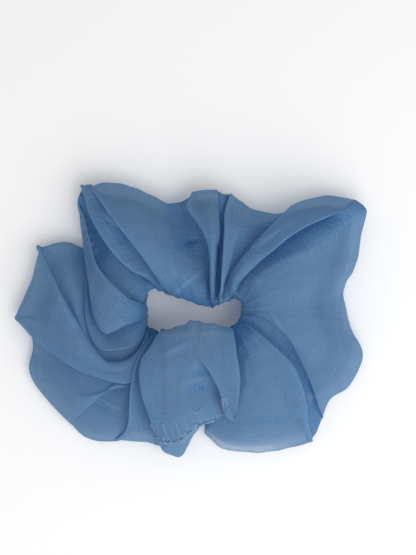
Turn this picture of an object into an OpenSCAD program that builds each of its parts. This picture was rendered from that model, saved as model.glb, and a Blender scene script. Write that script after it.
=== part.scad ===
// Oversized sheer scrunchie: a wide tube of organza gathered over a short elastic loop.
// It lies flat, the relaxed loop pressed into a long oval, with the loop's axis along +Z
// and the loop's centre at the origin.
// The cloth tube is drawn as two halves, back and front, because the loop opens and
// stretches between them.

/* [Loop] */
// Length of the relaxed opening, left to right
loop_length = 50; // [46:1:56]
// Width of the relaxed opening, front to back
loop_width = 16; // [14:1:24]
// Width of the flat elastic, which stands along Z
elastic_w = 8; // [6:0.5:8]
// Thickness of the flat elastic
elastic_t = 1.2; // [0.8:0.1:1.4]
// Length over which the elastic's two ends lap
lap_length = 14; // [8:1:18]

/* [Cloth tube] */
// Thickness of the gathered cloth wall
wall = 0.9; // [0.7:0.1:1]
// Depth of the tube below the loop's centre, down to what it lies on
floor_depth = 16; // [14:0.5:20]
// Height of the crown over the shortest puff
low_crown = 15; // [12:1:18]
// Height of the crown over the longest puff
high_crown = 26; // [20:1:32]
// How far the outer fold sinks towards the table
fold_drop = 6; // [0:0.5:8]
// Share of the lobed outline: 1 follows every puff, 0 is a plain ring
puffiness = 1; // [0.5:0.05:1]

/* [Seams] */
// Share of the tube's width at which the long seam runs, on the underside
seam_share = 0.8; // [0.7:0.02:0.82]
// Width of the seam allowance inside the tube
allowance_w = 6; // [4:0.5:8]
// Thickness of the two cloth edges in the allowance
allowance_t = 0.7; // [0.5:0.1:0.9]
// Radius of the sewing thread
thread_r = 0.2; // [0.15:0.05:0.3]
// Stitches of the long seam, in each half
seam_stitches = 60; // [40:2:70]
// Overlock loops on the allowance's edge, in each half
overlock_loops = 45; // [31:2:55]
// Direction in which the closing seam starts, seen from above
closing_from = 256; // [252:1:260]
// Direction in which the closing seam ends
closing_to = 285; // [280:1:290]
// Number of stitches in the closing seam
closing_stitches = 13; // [8:1:16]

/* [Hidden] */

CLOTH = "steelblue";
ELASTIC = "white";
THREAD = "lightsteelblue";

// Direction and reach of each puff and of each dip between two puffs
outline = [
    [0, 79], [13, 83], [23, 94], [33, 105], [45, 84], [60, 63], [75, 64], [90, 65], [105, 60],
    [118, 76], [132, 89], [148, 72], [157, 86], [169, 88], [182, 96], [191, 89], [205, 91],
    [221, 87], [234, 84], [250, 73], [262, 75], [271, 66], [281, 73], [299, 84], [312, 91],
    [326, 85], [343, 92], [353, 84],
];
mean_reach = 82;
shortest = 60;
longest = 105;

edge_r = 6;                       // radius of the tube's round edge, at the rim and the outer fold
half_gap_deg = 1;                 // each half stops this short of the plane between the halves
inner_gap_deg = 1.6;              // the seam allowance stops a little shorter
steps = 35;                       // steps round one half
arc_steps = 6;                    // steps round each edge of the tube's section
face_steps = 9;                   // steps across the tube's upper and lower face
crown_lean = 0.8;                 // below 1, the crown moves towards the rim
crown_round = 0.9;                // below 1, the crown is flatter on top and steeper at its edges
belly_lean = 0.7;                 // the same two for the underside
belly_round = 0.8;

elastic_inset = 3.8;              // from the opening's wall to the elastic's inner face
ring_steps = 96;                  // sides of the elastic ring
lap_angle = 90;                   // the lap is at the middle of the loop's back
lap_bite = 0.05;                  // the lapped layer sinks this far into the ring

// Smooth closed curve through the outline's points
function wrap(i) = (i + len(outline)) % len(outline);
function point_before(a, i = 0) =
    i + 1 >= len(outline) || outline[i + 1][0] > a ? i : point_before(a, i + 1);
function catmull(p0, p1, p2, p3, t) =
    0.5 * (2 * p1 + (p2 - p0) * t + (2 * p0 - 5 * p1 + 4 * p2 - p3) * t * t
           + (3 * p1 - p0 - 3 * p2 + p3) * t * t * t);
function reach(angle) =
    let (
        a = (angle % 360 + 360) % 360,
        i = point_before(a),
        from = outline[i][0],
        to = i + 1 < len(outline) ? outline[i + 1][0] : 360,
        r = catmull(outline[wrap(i - 1)][1], outline[i][1],
                    outline[wrap(i + 1)][1], outline[wrap(i + 2)][1],
                    (a - from) / (to - from))
    )
    mean_reach + (r - mean_reach) * puffiness;
function crown(angle) =
    low_crown + (high_crown - low_crown) * (reach(angle) - shortest) / (longest - shortest);

// From the oval rim to the outer fold: a place is a direction, a distance from the rim and a height
function oval(angle, inset) =
    [(loop_length / 2 + inset) * cos(angle), (loop_width / 2 + inset) * sin(angle)];
function fold(angle) = reach(angle) * [cos(angle), sin(angle)];
function tube_width(angle) = norm(fold(angle) - oval(angle, 0));
function outward(angle) = (fold(angle) - oval(angle, 0)) / tube_width(angle);
function place(angle, d, z) =
    let (p = oval(angle, 0) + d * outward(angle)) [p[0], p[1], z];

// The tube's section at one direction: round at the rim and the outer fold, swollen between them
function sink(s) = -fold_drop * s * s;
function face_d(s, angle) = edge_r + s * (tube_width(angle) - 2 * edge_r);
function upper_z(s, angle, inset) =
    sink(s) + edge_r - inset + (crown(angle) - edge_r) * pow(sin(180 * pow(s, crown_lean)), crown_round);
function lower_z(s, inset) =
    let (belly = pow(sin(180 * pow(s, belly_lean)), belly_round))
    sink(s) * (1 - belly) - edge_r + inset - (floor_depth - edge_r) * belly;
function section(angle, inset) = concat(
    [for (i = [0 : face_steps]) let (s = i / face_steps) [face_d(s, angle), upper_z(s, angle, inset)]],
    [for (i = [1 : arc_steps - 1]) let (t = 90 - 180 * i / arc_steps)
        [face_d(1, angle) + (edge_r - inset) * cos(t), sink(1) + (edge_r - inset) * sin(t)]],
    [for (i = [face_steps : -1 : 0]) let (s = i / face_steps) [face_d(s, angle), lower_z(s, inset)]],
    [for (i = [1 : arc_steps - 1]) let (t = 270 - 180 * i / arc_steps)
        [face_d(0, angle) + (edge_r - inset) * cos(t), (edge_r - inset) * sin(t)]]
);
section_points = 2 * (face_steps + 1) + 2 * (arc_steps - 1);

// A straight length of thread between two places
module bar(p, q) {
    v = q - p;
    translate(p)
        rotate([0, acos(v[2] / norm(v)), atan2(v[1], v[0])])
            cylinder(r = thread_r, h = norm(v), $fn = 16);
}

// Hollow length of the cloth tube, open at both ends
module cloth_tube(from_angle) {
    n = section_points;
    step = (180 - 2 * half_gap_deg) / steps;
    angles = [for (k = [0 : steps]) from_angle + half_gap_deg + k * step];
    outer = [for (a = angles) for (p = section(a, 0)) place(a, p[0], p[1])];
    inner = [for (a = angles) for (p = section(a, wall)) place(a, p[0], p[1])];
    shift = len(outer);
    outer_faces = [for (k = [0 : steps - 1]) for (i = [0 : n - 1]) let (j = (i + 1) % n) each [
        [k * n + i, (k + 1) * n + i, (k + 1) * n + j], [k * n + i, (k + 1) * n + j, k * n + j]]];
    inner_faces = [for (f = outer_faces) [f[0] + shift, f[2] + shift, f[1] + shift]];
    first_end = [for (i = [0 : n - 1]) let (j = (i + 1) % n) each [
        [i, j, shift + j], [i, shift + j, shift + i]]];
    last = steps * n;
    last_end = [for (i = [0 : n - 1]) let (j = (i + 1) % n) each [
        [last + j, last + i, last + shift + j], [last + shift + j, last + i, last + shift + i]]];
    polyhedron(concat(outer, inner), concat(outer_faces, inner_faces, first_end, last_end),
               convexity = 6);
}

function seam_d(angle) = face_d(seam_share, angle);
function seam_floor() = lower_z(seam_share, wall);

// The two cloth edges of the long seam, turned to the inside of the tube
module allowance(from_angle) {
    sink_in = 0.4;
    low = seam_floor() - sink_in;
    high = seam_floor() + allowance_w;
    step = (180 - 2 * inner_gap_deg) / steps;
    angles = [for (k = [0 : steps]) from_angle + inner_gap_deg + k * step];
    points = [for (a = angles) let (d = seam_d(a)) each [
        place(a, d, low), place(a, d + allowance_t, low),
        place(a, d + allowance_t, high), place(a, d, high)]];
    sides = [for (k = [0 : steps - 1]) for (i = [0 : 3]) let (j = (i + 1) % 4) each [
        [k * 4 + i, k * 4 + j, (k + 1) * 4 + j], [k * 4 + i, (k + 1) * 4 + j, (k + 1) * 4 + i]]];
    e = steps * 4;
    polyhedron(points, concat(sides, [[0, 3, 2], [0, 2, 1], [e, e + 1, e + 2], [e, e + 2, e + 3]]),
               convexity = 4);
}

module cover(from_angle) {
    color(CLOTH) {
        cloth_tube(from_angle);
        allowance(from_angle);
    }
}

// Upright block of an oval outline, centred on the loop's plane
module oval_block(points, h) {
    translate([0, 0, -h / 2]) linear_extrude(h) polygon(points);
}

// Flat elastic bent into a loop, its ends lapped and sewn
module elastic_band() {
    face = elastic_inset + elastic_t;
    lap_deg = lap_length / (loop_length / 2 + face) * 180 / PI;
    lap_steps = 10;
    around = [for (i = [0 : ring_steps - 1]) 360 * i / ring_steps];
    lap = [for (i = [0 : lap_steps]) lap_angle + lap_deg * (i / lap_steps - 0.5)];
    color(ELASTIC) {
        difference() {
            oval_block([for (a = around) oval(a, face)], elastic_w);
            oval_block([for (a = around) oval(a, elastic_inset)], 2 * elastic_w);
        }
        oval_block(concat([for (a = lap) oval(a, face + elastic_t)],
                          [for (i = [lap_steps : -1 : 0]) oval(lap[i], face - lap_bite)]), elastic_w);
    }
}

// Two rows of bar stitches through the lapped ends
module elastic_lap_stitching() {
    per_row = 7;
    row_pitch = 1.05;
    row_share = 0.3;
    row_x = lap_length * row_share;
    inner_y = loop_width / 2 + elastic_inset - 3 * thread_r;
    outer_y = loop_width / 2 + elastic_inset + 2 * elastic_t + thread_r;
    color(THREAD)
        for (x = [-row_x, row_x])
            for (i = [0 : per_row - 1])
                let (z = (i - (per_row - 1) / 2) * row_pitch)
                    bar([x, inner_y, z], [x, outer_y, z]);
}

// Lockstitches on both sides of the allowance, near the cloth wall
module long_seam_stitching(from_angle) {
    above_wall = 1.4;
    first_at = 0.5;
    last_room = 0.1;
    filled = 0.7;
    z = seam_floor() + above_wall;
    pitch = 180 / (seam_stitches + first_at + last_room);
    color(THREAD)
        for (k = [0 : seam_stitches - 1])
            let (a = from_angle + (k + first_at) * pitch, b = a + filled * pitch)
                for (d = [-thread_r, allowance_t + thread_r])
                    bar(place(a, seam_d(a) + d, z), place(b, seam_d(b) + d, z));
}

// Loops of overlock thread wrapped over the allowance's raw edge
module overlock_thread(from_angle) {
    thick = 2 * thread_r;
    wraps = 2.6;
    lean = 20;
    first_at = 0.8;
    spare_room = 0.6;
    pitch = 180 / (overlock_loops + spare_room);
    color(THREAD)
        for (k = [0 : overlock_loops - 1])
            let (
                a = from_angle + (k + first_at) * pitch,
                way = outward(a)
            )
                translate(place(a, seam_d(a) + allowance_t / 2, seam_floor() + allowance_w))
                    rotate([0, 0, atan2(way[1], way[0])])
                        rotate([lean, 0, 0])
                            difference() {
                                translate([-allowance_t / 2 - thick, -thick / 2, -wraps])
                                    cube([allowance_t + 2 * thick, thick, wraps + thick]);
                                translate([-allowance_t / 2, -thick, -wraps + thick])
                                    cube([allowance_t, 2 * thick, wraps - thick]);
                            }
}

// Topstitching that shuts the gap left for turning the tube, along the front puff's outer fold
module closing_seam_stitching() {
    first_share = 0.84;
    last_share = 0.72;
    filled = 0.72;
    rest = 0.9;
    pitch = 1 / closing_stitches;
    function top(t) =
        let (
            a = closing_from + t * (closing_to - closing_from),
            s = first_share + t * (last_share - first_share)
        )
        place(a, face_d(s, a), upper_z(s, a, 0) + thread_r * rest);
    color(THREAD)
        for (i = [0 : closing_stitches - 1])
            bar(top(i * pitch), top((i + filled) * pitch));
}

cover(0);  // cover_back
cover(180);  // cover_front
elastic_band();
elastic_lap_stitching();
long_seam_stitching(0);  // long_seam_stitching_back
long_seam_stitching(180);  // long_seam_stitching_front
overlock_thread(0);  // overlock_thread_back
overlock_thread(180);  // overlock_thread_front
closing_seam_stitching();
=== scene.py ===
"""Oversized sheer scrunchie: one gathered organza tube round a flat elastic, lying on a pale table.

Lengths in the lists below are millimetres in the part's own frame, with the loop's centre at the origin.
"""
import math

import bpy
import numpy as np
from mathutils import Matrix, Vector, noise


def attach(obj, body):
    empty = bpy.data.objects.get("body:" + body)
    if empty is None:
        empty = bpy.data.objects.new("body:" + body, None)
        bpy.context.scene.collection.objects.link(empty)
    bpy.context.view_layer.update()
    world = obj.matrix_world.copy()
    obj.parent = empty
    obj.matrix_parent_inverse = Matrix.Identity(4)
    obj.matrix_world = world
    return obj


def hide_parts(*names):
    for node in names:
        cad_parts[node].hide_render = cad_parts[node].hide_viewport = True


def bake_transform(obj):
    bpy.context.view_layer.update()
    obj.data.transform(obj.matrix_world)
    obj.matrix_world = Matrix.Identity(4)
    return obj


MM = 0.001
TINY = 1e-6          # keeps a division by a length safe
TABLE_Z = -16.0
BACK, FRONT = "back_half", "front_half"


# ------------ the cloth tube's upper face
# The upper face is lofted through ribs. Each rib runs from the gathered rim out to the outer fold,
# and they follow one another counter-clockwise, seen from above, from the right-hand end of the loop.

def panel(*points):
    """A rib inside a smooth panel."""
    return [np.array(points, float)]


def sideways(rib):
    """Unit vectors across a rib in plan, towards the ribs that come after it."""
    along = np.gradient(rib[:, :2], axis=0)
    along /= np.maximum(np.linalg.norm(along, axis=1), TINY)[:, None]
    return np.stack([-along[:, 1], along[:, 0]], axis=1)


def tucked(rib, shift, drop, span=(-0.05, 1.05)):
    """The hidden valley that a fold's crest leans over, along the given share of the rib."""
    share = (np.linspace(0, 1, len(rib)) - span[0]) / (span[1] - span[0])
    swell = np.sin(np.pi * np.clip(share, 0, 1)) ** 0.6
    under = rib.copy()
    under[:, :2] += sideways(rib) * (shift * swell)[:, None]
    under[:, 2] -= drop * swell
    return under


def leans_back(shift, drop, *points, span=(-0.05, 1.05)):
    """A crest that leans over the panel before it."""
    rib = np.array(points, float)
    return [tucked(rib, shift, drop, span), rib]


def leans_on(shift, drop, *points, span=(-0.05, 1.05)):
    """A crest that leans over the panel after it."""
    rib = np.array(points, float)
    return [rib, tucked(rib, -shift, drop, span)]


RIGHT_PUFF = [
    panel((24.5, 1, 4), (34, 2, 13), (50, 4, 17), (66, 5, 11), (79.2, 9, -6)),
    panel((24.6, 3, 4), (35, 8, 14), (52, 14, 18), (69, 19, 12), (84.6, 24, -6)),
    panel((24.6, 5, 4), (33, 14, 13), (49, 22, 17), (69, 30, 13), (88, 40, -5)),
    panel((24.5, 7, 4), (29.5, 18, 11), (42, 25.5, 15), (59, 35, 16), (73, 43.5, 11), (83, 50.5, 3),
          (90.3, 53, -4)),
]
UPPER_LIP = [
    leans_back(7, 16, (20, 8, 4), (23, 16, 13), (31.6, 25, 17), (39, 31, 19), (51, 41, 19), (64.6, 48.5, 15),
               (75, 53, 9), (84, 59.5, -3), span=(-0.05, 0.86)),
    panel((17, 7, 5), (20, 17, 14), (31, 31, 17), (45, 44, 16), (62, 54, 9), (75.7, 61.5, -4)),
    panel((15.5, 6.5, 5), (18.5, 20, 13), (29, 35, 15), (41, 46.5, 13), (51, 54, 6), (60, 60, -4)),
    leans_on(4, 8, (14.5, 6, 5), (18, 20, 12), (25.7, 30, 14), (35, 41, 12), (44, 50.5, 6), (51, 57, -4)),
]
BACK_DIP = [
    panel((13.5, 6, 4), (17, 20, 9), (23, 32, 10), (32, 44, 6), (42.6, 52.6, -5)),
    panel((13, 5, 5), (16, 19, 12), (20.5, 33, 13), (26, 45, 9), (31.6, 54.2, -4)),
]
TOP_PLEATS = [
    panel((12.5, 5, 5), (15.5, 18, 15), (19.5, 32, 17), (23, 45, 13), (25.2, 58.2, -3)),
    leans_on(2, 13, (12, 4.5, 5), (13.8, 13, 15), (14.8, 29, 20), (15.6, 43, 18), (16.2, 53, 11),
             (19, 62.5, -2)),
    panel((11, 4, 5), (12.3, 13, 11), (12.8, 28, 12), (14.6, 42, 9), (14.6, 54, 6), (14.5, 62.5, -2)),
    panel((10.5, 4, 4), (11.2, 14, 6), (11.9, 28, 7), (13.6, 42, 9), (13, 54, 7), (12.6, 63.7, -2)),
    panel((9.9, 3.8, 6), (10.9, 14, 13), (11.4, 27, 17), (12.6, 42, 17), (11.4, 54, 11), (10.6, 64.6, -1)),
    panel((9.4, 3.5, 6), (9.8, 14, 16), (9.8, 28, 21), (8, 44, 21), (5.5, 56, 13), (5, 65, -1)),
    leans_on(4, 14, (8.6, 3.2, 6), (8.2, 10, 12), (8.2, 19, 17), (8.2, 28, 20), (6.6, 37, 20), (2.4, 46, 17),
             (-3.2, 55.5, 9), (-1, 63.5, 0)),
]
BACK_PANEL = [
    panel((5, 4, 4), (5, 12, 8), (3, 24, 9), (0, 38, 5), (-4, 50, 0), (-7.4, 59, -5)),
    panel((0, 5.5, 4), (-2, 14, 10), (-6, 27, 12), (-10, 40, 9), (-13, 50, 2), (-15, 58, -5)),
    panel((-5, 8, 5), (-7, 16, 12), (-12, 29, 16), (-17, 42, 13), (-20, 53, 4), (-21.5, 61.2, -4)),
]
LEFT_LIPS = [
    panel((-9.5, 9, 6), (-13, 18, 14), (-19, 32, 19), (-26, 46, 17), (-32, 59, 6), (-35, 67.3, -4)),
    panel((-13.5, 9.8, 6), (-17, 17, 15), (-26, 32, 21), (-36, 48, 18), (-44, 61, 7), (-48.9, 68.4, -3)),
    leans_on(5, 11, (-16, 10.3, 5), (-18.5, 15.5, 12), (-24, 25, 18), (-32, 36, 20), (-40, 46.5, 18),
             (-48, 57, 11), (-56, 66.8, -1)),
    panel((-18.7, 11.8, 5), (-22, 18, 9), (-29, 28, 11), (-37, 39, 12), (-44, 49, 11), (-51, 59, 6),
          (-57.5, 67, -1)),
    leans_on(4, 12, (-21.6, 13.2, 5), (-25.5, 17.5, 9), (-32, 21.5, 13), (-39, 27.5, 15), (-44, 33.5, 15),
             (-51, 44, 12), (-56.8, 55, 6), (-60.3, 66.7, -1)),
    panel((-24.6, 12.2, 4), (-29, 16, 5), (-36, 21, 4), (-43, 28, 2), (-49, 37, -1), (-55, 49, -3),
          (-61.2, 62, -4)),
]
TONGUE = [
    leans_back(4, 9, (-25.8, 7, 4), (-28, 6, 8), (-33, 7.5, 12), (-39.5, 12.5, 14), (-46, 18.5, 13),
               (-52, 27, 9), (-55.5, 40, 5), (-58, 50, 1), (-61.3, 57, -4)),
    panel((-25.5, 0, 4), (-31, -1, 10), (-39, 2, 14), (-47, 8, 13), (-53, 18, 8), (-57.5, 33, 1),
          (-61.5, 50, -7)),
    leans_on(2, 5, (-25.5, -3, 4), (-33, -5, 9), (-42, -9.5, 10), (-46.5, -10.5, 10), (-50, -7, 10),
             (-53.5, 2, 9), (-55.5, 12, 7), (-57.5, 26, 0), (-60, 44, -8)),
    leans_on(2.5, 6, (-25, -7.5, 4), (-27.5, -12, 8), (-33, -17, 11), (-42, -19, 12), (-48.7, -18.5, 11),
             (-53, -14, 10), (-56.3, -4, 9), (-57, 8, 7), (-57.5, 20, 0), (-59.5, 34, -8)),
]
LEFT_PUFF = [
    panel((-24.8, -8, 4), (-29, -15, 7), (-40, -20.5, 8), (-51, -19, 8), (-59, -5, 9), (-64, 12, 6),
          (-67, 26, 0), (-69, 37, -7)),
    leans_back(3, 7, (-24.5, -8.2, 4), (-28, -17, 8), (-35, -24, 11), (-45, -25, 12), (-52.5, -18, 12),
               (-61.5, -3.5, 12), (-69, 9.6, 10), (-75.5, 22, 5), (-82.8, 35.4, -5)),
    panel((-24.3, -8.4, 5), (-27, -19, 9), (-35, -29, 13), (-48, -28.5, 15), (-62, -17, 15), (-74, -3, 11),
          (-81, 10, 3), (-87, 18.5, -7)),
    leans_on(6, 7.5, (-23.8, -8.5, 5), (-26, -22, 9), (-32, -34.5, 11), (-46, -33.5, 13), (-58.4, -30, 12),
             (-71.5, -23, 8), (-86.3, -12.3, 1), (-95.7, -3.2, -7)),
]
LOWER_LEFT = [
    panel((-23.2, -8.6, 3), (-26, -22, 4), (-34, -32, 8), (-50, -34, 9), (-66, -28, 6), (-78, -20.5, -1),
          (-87.2, -14.6, -11)),
    panel((-22.8, -8.7, 4), (-26, -23, 5), (-34, -36, 7), (-50, -40, 10), (-67, -38, 7), (-79, -34.5, -2),
          (-88.4, -31.8, -11)),
    leans_on(3, 6, (-22, -8.8, 4), (-26, -24, 6), (-33, -35.5, 8), (-41, -36, 9), (-49, -43, 9),
             (-57.5, -50, 4),
             (-66.6, -59, -9)),
    panel((-21.6, -8.8, 3), (-25, -22, 3), (-31, -34, 4), (-37, -44, 4), (-46, -52, 1), (-58.2, -66, -11)),
    panel((-21.3, -8.9, 3), (-24.8, -22, 3), (-30, -34, 3), (-33.5, -48, 3), (-39, -60, -2), (-49, -69, -11)),
    leans_back(3.5, 9, (-20.8, -9, 4), (-24.5, -14, 8), (-30, -25, 12), (-32.4, -35, 14), (-33.6, -46, 13),
               (-34.3, -56, 8), (-36.5, -62, 0), (-42, -67.8, -9)),
    panel((-20.2, -9, 4), (-23, -15, 8), (-27, -27, 11), (-29.5, -40, 12), (-30, -52, 8), (-29.5, -61, 1),
          (-28.6, -69, -9)),
]
FRONT_PUFF = [
    leans_back(6, 14, (-18, -8, 5), (-19.5, -11, 12), (-22.5, -16.5, 17), (-26.5, -23, 19), (-28, -31, 20),
               (-27.3, -40, 19), (-24.5, -51, 15), (-21.5, -60, 9), (-17.8, -72.4, -4)),
    panel((-10, -8.2, 5), (-8.5, -7, 13), (-10, -12, 19), (-14, -24, 23), (-16, -38, 22), (-15, -52, 16),
          (-12.5, -62, 8), (-8.6, -76, -4)),
    panel((-2, -8, 5), (-0.5, -4.2, 13), (-1.5, -10, 20), (-3, -22, 24), (-3, -36, 22), (-2, -50, 15),
          (1.6, -61, -1)),
    leans_back(4.5, 8, (4, -7.8, 5), (4.5, -4.6, 14), (2.5, -12, 21), (2.1, -22.6, 24), (6.3, -28.4, 23.5),
               (11.6, -38, 21), (14.4, -47, 15), (15.8, -54, 6), span=(0.47, 1.04)),
    panel((10, -7.6, 5), (11.5, -5.6, 14), (12.5, -14, 20), (15, -28, 22), (18, -42, 17), (19, -56, 4)),
    leans_on(7, 13, (18, -7.3, 5), (19.5, -8.2, 13), (21, -19, 18), (22.6, -33, 18), (22.4, -46, 12),
             (21, -58, 2)),
]
LOWER_RIGHT = [
    panel((19.5, -7, 4), (20, -16, 6), (19, -30, 7), (14.5, -46, 4), (9, -55.5, -3), (5, -62.8, -10)),
    panel((20, -6.8, 4), (23, -16, 10), (26, -32, 13), (23.5, -50, 9), (19, -63, -1), (13.8, -71.8, -10)),
    panel((21, -6.4, 5), (26, -15, 13), (33, -31, 16), (34, -50, 12), (31, -65, 1), (30, -74, -10)),
    panel((22.4, -5, 5), (29.5, -12, 14), (42, -28, 17), (48, -47, 13), (49, -62, 3), (48, -73, -10)),
    leans_on(4.5, 10, (24, -3, 5), (28, -6, 10), (37.5, -14, 15), (48.5, -24.5, 16), (53, -32, 15),
             (57, -44, 11),
             (59, -56, 4), (62, -68.6, -8)),
    panel((24.3, -2, 4), (30, -4, 7), (39, -11, 8), (49, -20, 7), (55, -31, 4), (60, -45, 0),
          (62, -56, -6), (65.2, -62.2, -11)),
    leans_back(1.5, 4, (24.4, -1, 4), (30, -0.8, 10), (41, -5, 14), (49, -14.5, 14), (54.5, -25, 11),
               (61, -39, 4),
               (65, -50, -4), (68, -56, -11)),
    panel((24.5, -0.5, 4), (32, -1, 12), (44, -8, 16), (57, -21, 14), (66, -34, 5), (73.5, -46, -10)),
    panel((24.5, -0.2, 4), (32.5, -1, 12.5), (46, -7, 16.5), (61, -18, 14.5), (72, -28.5, 5),
          (82.3, -38.5, -9)),
    panel((24.5, 0, 4), (33, -1, 13), (48, -6, 17), (64, -14, 15), (78, -20.5, 5), (88.8, -24, -9)),
    panel((24.5, 0.5, 4), (34, 0.5, 13), (51, -1, 17), (68, -4, 12), (83.6, -10, -8)),
]
GROUPS = (RIGHT_PUFF, UPPER_LIP, BACK_DIP, TOP_PLEATS, BACK_PANEL, LEFT_LIPS, TONGUE, LEFT_PUFF, LOWER_LEFT,
          FRONT_PUFF, LOWER_RIGHT)
RIBS = [rib for group in GROUPS for ribs in group for rib in ribs]

COLUMNS = 560        # round the loop
UPPER_ROWS = 34      # rim to outer fold, over the top
LOWER_ROWS = 26      # outer fold back to the rim, underneath
PLY_ROWS = 96        # seam to seam, right round the tube
TURNED_ROWS = 5      # each seam allowance, turned inside
FLAT_LENGTH = 650.0  # the cut's length, gathered on to the elastic


# ------------ curves

def fading(distance, reach):
    """1 at no distance, falling away to nothing beyond the reach."""
    return np.exp(-(distance / reach) ** 2)


def sizes(vectors):
    """Lengths along the last axis, which stays; for a list of single numbers, their sizes."""
    return np.linalg.norm(vectors, axis=-1, keepdims=True) if vectors.ndim > 1 else np.abs(vectors)


def hermite(knots, points, at, closed=False):
    """Smooth curve through points at the given knots; a point may be a number or an array of any shape."""
    knots, points = np.asarray(knots, float), np.asarray(points, float)
    shape = (-1, *[1] * (points.ndim - 1))
    steps = np.diff(knots)
    if closed:
        ahead = steps.reshape(shape)
        behind = np.roll(ahead, 1, 0)
        slopes = (np.roll(points, -1, 0) - points) / ahead
        slopes_behind = np.roll(slopes, 1, 0)
        tangents = (slopes * behind + slopes_behind * ahead) / (ahead + behind)
        steepest = 2.5 * np.minimum(sizes(slopes), sizes(slopes_behind))
        tangents = tangents * np.minimum(1, steepest / np.maximum(sizes(tangents), TINY))
        at = np.mod(at, knots[-1])
        i = np.clip(np.searchsorted(knots, at, side="right") - 1, 0, len(points) - 1)
        j = (i + 1) % len(points)
    else:
        tangents = np.gradient(points, knots, axis=0)
        i = np.clip(np.searchsorted(knots, at, side="right") - 1, 0, len(points) - 2)
        j = i + 1
    h = steps[i]
    t = (at - knots[i]) / h
    t, h = t.reshape(shape), h.reshape(shape)
    return ((1 + 2 * t) * (1 - t) ** 2 * points[i] + t * (1 - t) ** 2 * h * tangents[i]
            + t * t * (3 - 2 * t) * points[j] + t * t * (t - 1) * h * tangents[j])


def run_along(path):
    """How far along a path each of its points lies."""
    return np.concatenate([[0], np.cumsum(np.linalg.norm(np.diff(path, axis=0), axis=1))])


def at_lengths(path, wanted):
    """Points at the wanted lengths along a path."""
    along = run_along(path)
    return np.stack([np.interp(wanted, along, path[:, k]) for k in range(3)], axis=1)


def resampled(points, count):
    """Points spread evenly along a smooth curve through the given ones."""
    knots = np.concatenate([[0], np.cumsum(np.linalg.norm(np.diff(points, axis=0), axis=1) ** 0.6)])
    fine = hermite(knots, points, np.linspace(0, knots[-1], 20 * count))
    return at_lengths(fine, np.linspace(0, run_along(fine)[-1], count))


def spaced(path, pitch):
    """Points a pitch apart along a path."""
    return at_lengths(path, np.arange(0, run_along(path)[-1], pitch))


def evened(values, passes):
    """Values averaged with their neighbours round the loop, several times over."""
    for _ in range(passes):
        values = (np.roll(values, 1, 0) + 2 * values + np.roll(values, -1, 0)) / 4
    return values


def smoothed(closed_path, spread):
    """A closed path with its short waves taken out."""
    wave = np.fft.rfft(closed_path, axis=0)
    keep = np.exp(-(np.arange(len(wave)) / spread) ** 2)[:, None]
    return np.fft.irfft(wave * keep, len(closed_path), axis=0)


# ------------ the tube, lofted

# The lower face from the outer fold back to the rim: shares of the puff's width, and heights
UNDER_SHARES = (0.94, 0.8, 0.6, 0.4, 0.22, 0.1, 0.03, 0.0)
UNDER_HEIGHTS = (-14.2, -15.2, -15.3, -14.9, -13.2, -9.5, -5.0, -1.0)
FOLD_DROP = 2.5      # the lower face starts at least this far below the outer fold
RIM_ROWS = 8         # rows by the rim that don't count in the distance between ribs
LEAST_GAP = 0.8


def under_face(upper):
    """The lower face's points under one rib, from the outer fold back to the rim."""
    rim, fold = upper[0], upper[-1]
    out = fold[:2] - rim[:2]
    width = np.linalg.norm(out)
    out = out / width
    height = np.array(UNDER_HEIGHTS)
    height[0] = min(height[0], fold[2] - FOLD_DROP)
    plan = rim[:2] + np.array(UNDER_SHARES)[:, None] * width * out
    curve = np.vstack([fold, np.column_stack([plan, height])])
    return resampled(curve, LOWER_ROWS + 2)[1:-1]


def rib_sections():
    """The closed section through the tube at every rib."""
    uppers = [resampled(rib, UPPER_ROWS) for rib in RIBS]
    return np.array([np.vstack([upper, under_face(upper)]) for upper in uppers])


SECTIONS = rib_sections()
BETWEEN_RIBS = np.linalg.norm(np.roll(SECTIONS, -1, 0) - SECTIONS, axis=2)
RIB_GAPS = BETWEEN_RIBS[:, RIM_ROWS:UPPER_ROWS].mean(axis=1) + LEAST_GAP
RIB_KNOTS = np.concatenate([[0], np.cumsum(RIB_GAPS)])
COLUMN_PLACES = RIB_KNOTS[-1] * np.arange(COLUMNS) / COLUMNS


def loop_of(rib_values):
    """One value, or one row of points, per column from one per rib."""
    return hermite(RIB_KNOTS, rib_values, COLUMN_PLACES, closed=True)


def per_rib(usual, *own):
    """A value for every rib: the usual one, or a rib group's own, which is one value or one for each rib."""
    own = {id(group): value for group, value in own}
    values = []
    for group in GROUPS:
        value = own.get(id(group), usual)
        values += list(value) if isinstance(value, tuple) else [value] * sum(len(ribs) for ribs in group)
    return values


def outward(grid, closed_rows=True):
    """Unit normals out of the tube."""
    round_loop = np.roll(grid, -1, 0) - np.roll(grid, 1, 0)
    if closed_rows:
        across = np.roll(grid, -1, 1) - np.roll(grid, 1, 1)
    else:
        across = np.gradient(grid, axis=1)
    normal = np.cross(across, round_loop)
    normal /= np.maximum(sizes(normal), TINY)
    normal = evened(normal, 2)
    return normal / np.maximum(sizes(normal), 0.15)


def loop_noise(across, length, width, seed):
    """Smooth noise over the cloth, with features of about length round the loop by width across it."""
    columns, rows = across.shape
    reach = FLAT_LENGTH / (2 * math.pi * length)
    values = np.empty((columns, rows))
    for c in range(columns):
        turn = 2 * math.pi * c / columns
        x, y = reach * math.cos(turn) + seed, reach * math.sin(turn) - seed
        for r in range(rows):
            values[c, r] = noise.noise(Vector((x, y, across[c, r] / width)))
    return values


# ------------ the cut panel, sewn and turned

# How far the long seam lies from the outer fold, along the cloth: plus is underneath, minus is on top.
# The seam's last stretch, closed from outside, shows on the front puff.
SEAM_PLACE = per_rib(21, (FRONT_PUFF, (8, -9, -12, -4, 0, -2.5, 4, 12, 18)))
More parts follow.
